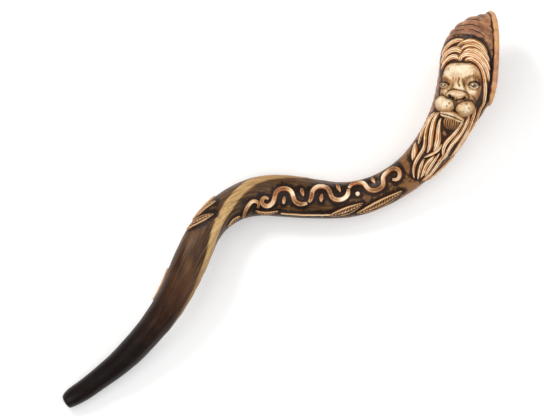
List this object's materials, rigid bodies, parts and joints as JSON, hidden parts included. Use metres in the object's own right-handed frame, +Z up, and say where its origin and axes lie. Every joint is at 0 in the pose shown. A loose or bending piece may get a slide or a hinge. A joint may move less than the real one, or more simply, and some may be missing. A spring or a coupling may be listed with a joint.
{
  "type": "shofar",
  "caption": "Curved natural-horn wind instrument with a narrow bored mouthpiece tip, a flared open bell and sculpted relief of a lion head, mane, leaves and a wavy ribbon.",
  "frame": {"origin": "centre of the bounding box's footprint at its lowest plane, where the horn lies on a flat surface", "axes": "+Z up out of the face side as it lies, +X towards the open bell, +Y towards the bell's upper end as seen from above"},
  "size_m": [0.5904, 0.5381, 0.1137],
  "materials": {
    "horn": "polished natural horn, near black at the tip, dark brown to golden tan, satin gloss",
    "rim": "satin painted clay, pinkish tan to gold",
    "face_clay": "satin ivory clay with brown wash in the hollows",
    "mane_clay": "satin cream and ochre clay with dark wash in the grooves",
    "ribbon_clay": "satin ivory clay with copper edges",
    "leaf_clay": "satin ochre clay with dark veined centres",
    "eye": "dark glossy glaze"
  },
  "bodies": {
    "root": {"back_leaf_1": "leaf_clay", "back_leaf_2": "leaf_clay", "back_mane_1": "mane_clay", "back_mane_2": "mane_clay", "back_mane_3": "mane_clay", "back_mane_4": "mane_clay", "back_mane_5": "mane_clay", "back_vine": "leaf_clay", "bead": "ribbon_clay", "chin_tuft": "face_clay", "crown_left_inner": "mane_clay", "crown_left_mid": "mane_clay", "crown_left_outer": "mane_clay", "crown_right_1": "mane_clay", "crown_right_2": "mane_clay", "crown_right_3": "mane_clay", "crown_right_4": "mane_clay", "crown_right_5": "mane_clay", "drop_1": "ribbon_clay", "drop_2": "ribbon_clay", "drop_3": "ribbon_clay", "drop_4": "ribbon_clay", "drop_5": "ribbon_clay", "eye_left": "eye", "eye_right": "eye", "face_mask": "face_clay", "horn": "horn", "leaf_bend_inner": "leaf_clay", "leaf_bend_outer": "leaf_clay", "leaf_front_high": "leaf_clay", "leaf_front_low": "leaf_clay", "leaflet_left": "leaf_clay", "leaflet_mid": "leaf_clay", "lower_lip": "face_clay", "mane_left_1": "mane_clay", "mane_left_2": "mane_clay", "mane_left_3": "mane_clay", "mane_left_4": "mane_clay", "mane_left_5": "mane_clay", "mane_left_6": "mane_clay", "mane_left_8": "mane_clay", "mane_left_9": "mane_clay", "mane_low_1": "mane_clay", "mane_low_2": "mane_clay", "mane_low_3": "mane_clay", "mane_right_1": "mane_clay", "mane_right_2": "mane_clay", "mane_right_3": "mane_clay", "mane_right_4": "mane_clay", "muzzle_left": "face_clay", "muzzle_right": "face_clay", "nose": "face_clay", "ribbon_1": "ribbon_clay", "ribbon_2": "ribbon_clay", "ribbon_3": "ribbon_clay", "rim_roll": "rim", "tendril_curl": "leaf_clay", "vine_front": "leaf_clay"}
  },
  "joints": []
}
